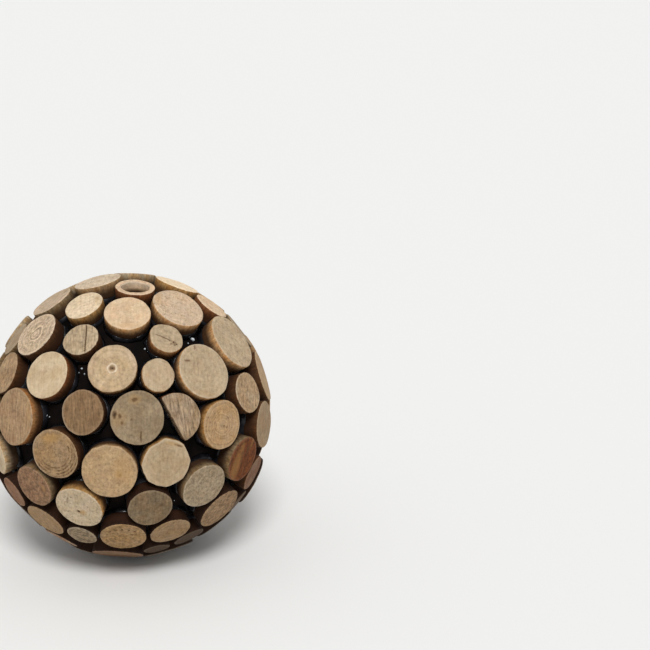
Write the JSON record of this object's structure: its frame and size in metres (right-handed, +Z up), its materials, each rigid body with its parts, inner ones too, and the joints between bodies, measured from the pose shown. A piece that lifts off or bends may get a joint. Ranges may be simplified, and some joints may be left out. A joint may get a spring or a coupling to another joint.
{
  "type": "wood slice ball",
  "caption": "Decorative ball of sawn branch slices glued all over a black foam core, standing on the flat face of its lowest slice.",
  "frame": {"origin": "middle of the sawn face that the ball stands on", "axes": "+Z up through the ball's middle, -Y towards the front, +X to the right seen from the front"},
  "size_m": [0.0795, 0.0804, 0.0797],
  "materials": {
    "core_paint": "matte black paint on foam",
    "glue": "glossy hot glue, dark over the black core",
    "wood_pale": "sawn and unfinished, with thin bark on its rim",
    "wood_straw": "sawn and unfinished, with thin bark on its rim",
    "wood_tan": "sawn and unfinished, with thin bark on its rim",
    "wood_grey": "sawn and unfinished, with thin bark on its rim",
    "wood_rose": "sawn and unfinished, with thin bark on its rim",
    "wood_brown": "sawn and unfinished, with thin bark on its rim"
  },
  "bodies": {
    "root": {"core": "core_paint", "glue": "glue", "rest_slice": "wood_tan", "hollow_slice": "wood_rose", "half_slice": "wood_rose", "slice_01": "wood_tan", "slice_02": "wood_pale", "slice_03": "wood_rose", "slice_04": "wood_pale", "slice_05": "wood_pale", "slice_06": "wood_tan", "slice_07": "wood_pale", "slice_08": "wood_rose", "slice_09": "wood_grey", "slice_10": "wood_grey", "slice_11": "wood_tan", "slice_12": "wood_brown", "slice_13": "wood_pale", "slice_14": "wood_rose", "slice_15": "wood_pale", "slice_16": "wood_grey", "slice_17": "wood_tan", "slice_18": "wood_tan", "slice_19": "wood_tan", "slice_20": "wood_brown", "slice_21": "wood_grey", "slice_22": "wood_straw", "slice_23": "wood_tan", "slice_24": "wood_pale", "slice_25": "wood_straw", "slice_26": "wood_brown", "slice_27": "wood_straw", "slice_28": "wood_pale", "slice_29": "wood_brown", "slice_30": "wood_tan", "slice_31": "wood_grey", "slice_32": "wood_brown", "slice_33": "wood_pale", "slice_34": "wood_grey", "slice_35": "wood_brown", "slice_36": "wood_tan", "slice_37": "wood_grey", "slice_38": "wood_straw", "slice_39": "wood_tan", "slice_40": "wood_tan", "slice_41": "wood_grey", "slice_42": "wood_grey", "slice_43": "wood_tan", "slice_44": "wood_rose", "back_slices_pale": "wood_pale", "back_slices_straw": "wood_straw", "back_slices_tan": "wood_tan", "back_slices_grey": "wood_grey", "back_slices_rose": "wood_rose", "back_slices_brown": "wood_brown"}
  },
  "joints": []
}
